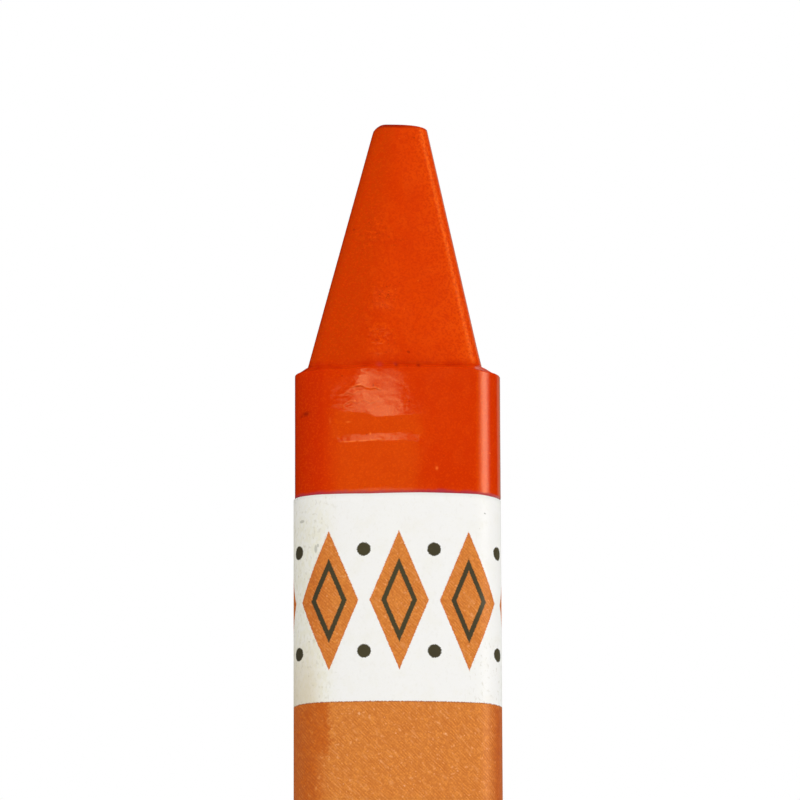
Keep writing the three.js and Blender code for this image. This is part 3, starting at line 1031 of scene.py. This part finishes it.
def make_floor():
    mesh = bpy.data.meshes.new("floor")
    half = FLOOR_SIZE_m / 2
    corners = [(-half, -half, 0), (half, -half, 0), (half, half, 0), (-half, half, 0)]
    mesh.from_pydata(corners, [], [(0, 1, 2, 3)])
    mat = Shader("floor", Roughness=0.9, Base_Color=FLOOR_COLOUR, Specular_IOR_Level=0.1)
    away = mat.add("ShaderNodeVectorMath", {0: mat.place()}, operation="LENGTH").outputs["Value"]
    white = mat.add("ShaderNodeEmission", {"Color": WHITE, "Strength": background_level(mat)})
    mat.show(mat.add("ShaderNodeMixShader", {0: mat.between(away, *FLOOR_FADE_m), 1: mat.surface.outputs[0],
                                             2: white.outputs[0]}))
    mesh.materials.append(mat.material)
    floor = add_object("floor", mesh)


def background_level(nodes):
    """1 for rays that show the background, and AMBIENT for those that light the object."""
    path = nodes.add("ShaderNodeLightPath")
    shown = path.outputs["Is Camera Ray"]
    for name in ("Is Glossy Ray", "Is Transmission Ray"):
        shown = nodes.math("MAXIMUM", shown, path.outputs[name])
    return nodes.add("ShaderNodeMapRange", {"Value": shown, "To Min": AMBIENT, "To Max": 1.0}).outputs[0]


def make_world():
    world = bpy.data.worlds.new("studio")
    world.use_nodes = True
    bpy.context.scene.world = world
    sky = Nodes(world.node_tree)
    sky.tree.nodes.clear()
    white = sky.add("ShaderNodeBackground", {"Color": WHITE, "Strength": background_level(sky)})
    sky.add("ShaderNodeOutputWorld", {0: white.outputs[0]})


LIT_POINT = Vector((0, 0, SHOULDER * MM))


def towards(azimuth, elevation):
    """Unit vector out of the crayon. Azimuth 0 is in front and 90 to the right, in degrees."""
    a, e = math.radians(azimuth), math.radians(elevation)
    return Vector((math.sin(a) * math.cos(e), -math.cos(a) * math.cos(e), math.sin(e)))


def facing_crayon(thing, azimuth, elevation, distance_m):
    out = towards(azimuth, elevation)
    thing.location = LIT_POINT + out * distance_m
    thing.rotation_mode = "QUATERNION"
    thing.rotation_quaternion = out.to_track_quat("Z", "Y")


def lamp(name, azimuth, elevation, wide, tall, radiance, distance_m):
    """A flat soft lamp that spans wide by tall degrees, seen from the crayon."""
    data = bpy.data.lights.new(name, "AREA")
    data.shape = "RECTANGLE"
    data.size = 2 * distance_m * math.tan(math.radians(wide / 2))
    data.size_y = 2 * distance_m * math.tan(math.radians(tall / 2))
    data.energy = radiance * math.pi * data.size * data.size_y
    thing = add_object(name, data)
    facing_crayon(thing, azimuth, elevation, distance_m)
    thing.visible_camera = False
    thing.visible_glossy = False


KEY_LAMP = {"azimuth": 28, "elevation": 35, "wide": 44, "tall": 44, "radiance": 1.8, "distance_m": 0.7}
SCREEN_DISTANCE_m = 1.0
SCREEN_ELEVATIONS = (-60, 90)


def band(value, low, high, soft):
    """1 between low and high, falling to 0 over soft outside them."""
    return np.clip((value - low) / soft + 1, 0, 1) * np.clip((high - value) / soft + 1, 0, 1)


# Tints of the screen's light
NEUTRAL_TINT = (1.0, 0.93, 0.86)
CREAM_TINT = (1.0, 1.0, 0.68)
GOLD_TINT = (1.0, 0.9, 0.08)
RIM_TINT = (0.8, 1.25, 0.86)
# Panels on the screen: brightness, azimuths from, to and softness, then elevations likewise, in degrees
CORNER_PANEL = (0.8, 38, 58, 4, -8, 40, 6)
LOW_PANEL = (1.15, -20, 8.4, 0.6, 2, 15, 1)
STREAK_PANEL = (2.5, -17, -3, 1.5, 18.2, 19.0, 0.4)
LEFT_PANEL = (0.6, -17, -10.5, 0.7, 18.8, 21.3, 0.6)
RIM_PANEL = (0.36, 132, 158, 8, -8, 24, 6)
WEDGE_PANEL = (0.5, 150, 169, 2, 26, 46, 5)
# The window, which the collar's right corner mirrors as a bright line: brightness, azimuth and half width
WINDOW, WINDOW_AZIMUTH, WINDOW_HALF = 8.2, 65.5, 14
# Round glows that the patch shows: brightness, azimuth, elevation and size
GLOWS = ((8.5, -8.2, 23.9, 2.1), (3.6, -2.0, 19.8, 2.2))


def panel(azimuth, elevation, level, left, right, soft, low, high, soft_up):
    return level * band(azimuth, left, right, soft) * band(elevation, low, high, soft_up)


def blob(azimuth, elevation, level, middle, high, size):
    return level * np.exp(-((azimuth - middle) / size) ** 2 - ((elevation - high) / size) ** 2)


def screen_glow(azimuth, elevation):
    """Colour of the screen round the crayon: black flags with a few bright panels."""
    window = WINDOW * np.exp(-(np.abs(azimuth - WINDOW_AZIMUTH) / WINDOW_HALF) ** 2.6)
    low_window = window * (0.2 + 0.8 * band(elevation, -8, 18, 8)) * band(elevation, -8, 24, 6)
    high_window = 0.2 * window * band(elevation, 30, 42, 6) + panel(azimuth, elevation, *CORNER_PANEL)
    wide_top = 18.6 - 0.14 * np.maximum(azimuth, 0)
    wide_panel = panel(azimuth, elevation, 3.2, -17, 7.5, 0.7, 15.8, wide_top, 0.5)
    wide_panel += panel(azimuth, elevation, *STREAK_PANEL)
    right_edge = 2.2 - 0.4 * (elevation - 20)
    core = 2.9 * band(azimuth, -8, 90, 4) * band(azimuth, -90, right_edge, 0.8) * band(elevation, 18.5, 26, 1)
    core *= 1 - 0.1 * np.clip(azimuth + 5, 0, 8) * band(elevation, 21.5, 30, 1)
    core += panel(azimuth, elevation, *LEFT_PANEL)
    core += sum(blob(azimuth, elevation, *glow) for glow in GLOWS)
    white = low_window + panel(azimuth, elevation, *WEDGE_PANEL)
    gold = panel(azimuth, elevation, *LOW_PANEL) + high_window
    glow = np.outer(white, NEUTRAL_TINT) + np.outer(wide_panel + core, CREAM_TINT)
    return glow + np.outer(gold, GOLD_TINT) + np.outer(panel(azimuth, elevation, *RIM_PANEL), RIM_TINT)


def make_screen():
    """Flags and panels that only the crayon's gloss shows."""
    azimuths = np.arange(-180, 180)
    elevations = np.arange(SCREEN_ELEVATIONS[0], SCREEN_ELEVATIONS[1] + 1)
    a, e = [grid.ravel() for grid in np.meshgrid(azimuths, elevations)]
    ra, re = np.radians(a), np.radians(e)
    out = np.column_stack([np.sin(ra) * np.cos(re), -np.cos(ra) * np.cos(re), np.sin(re)])
    points = out * SCREEN_DISTANCE_m + np.array(LIT_POINT)
    mesh = bpy.data.meshes.new("studio_screen")
    mesh.from_pydata(points.tolist(), [], grid_faces(len(elevations), len(azimuths), closed=True).tolist())
    write_values(mesh, "glow", screen_glow(a, e))
    mat = Shader("studio_screen")
    mat.show(mat.add("ShaderNodeEmission", {"Color": mat.attribute("glow", "Vector")}))
    mat.material.cycles.emission_sampling = "NONE"
    mesh.materials.append(mat.material)
    screen = add_object("studio_screen", mesh)
    screen.visible_camera = False
    screen.visible_diffuse = False
    screen.visible_transmission = False
    screen.visible_shadow = False


# Camera, at the photograph's place: just below the tip's height, looking a little up
CAMERA_DISTANCE = 385.3
CAMERA_PITCH = math.radians(11.99)
CAMERA_AZIMUTH = math.radians(-2.1)
CAMERA_ROLL = math.radians(0.2)
CAMERA_TARGET = (0.265, 0.0, SHOULDER - 1.0865)
FOCAL_PIXELS = 6515.0
FRAME_PIXELS = 800.0
SENSOR = 36.0


def make_camera():
    data = bpy.data.cameras.new("camera")
    data.sensor_width = SENSOR
    data.lens = FOCAL_PIXELS / FRAME_PIXELS * SENSOR
    data.clip_start, data.clip_end = 0.01, 10.0
    camera = add_object("camera", data)
    turn = Matrix.Rotation(CAMERA_AZIMUTH, 3, "Z")
    ahead = turn @ Vector((0, math.cos(CAMERA_PITCH), math.sin(CAMERA_PITCH)))
    level = turn @ Vector((1, 0, 0))
    upward = level.cross(ahead)
    right = level * math.cos(CAMERA_ROLL) - upward * math.sin(CAMERA_ROLL)
    up = level * math.sin(CAMERA_ROLL) + upward * math.cos(CAMERA_ROLL)
    target = turn @ Vector(CAMERA_TARGET)
    camera.matrix_world = Matrix.Translation((target - ahead * CAMERA_DISTANCE) * MM) @ Matrix(
        (right, up, -ahead)).transposed().to_4x4()
    bpy.context.scene.camera = camera


def main():
    make_wax()
    make_label()
    dress_paste()
    make_floor()
    make_world()
    lamp("key", **KEY_LAMP)
    make_screen()
    make_camera()
    bpy.context.scene.view_settings.view_transform = "Standard"


main()
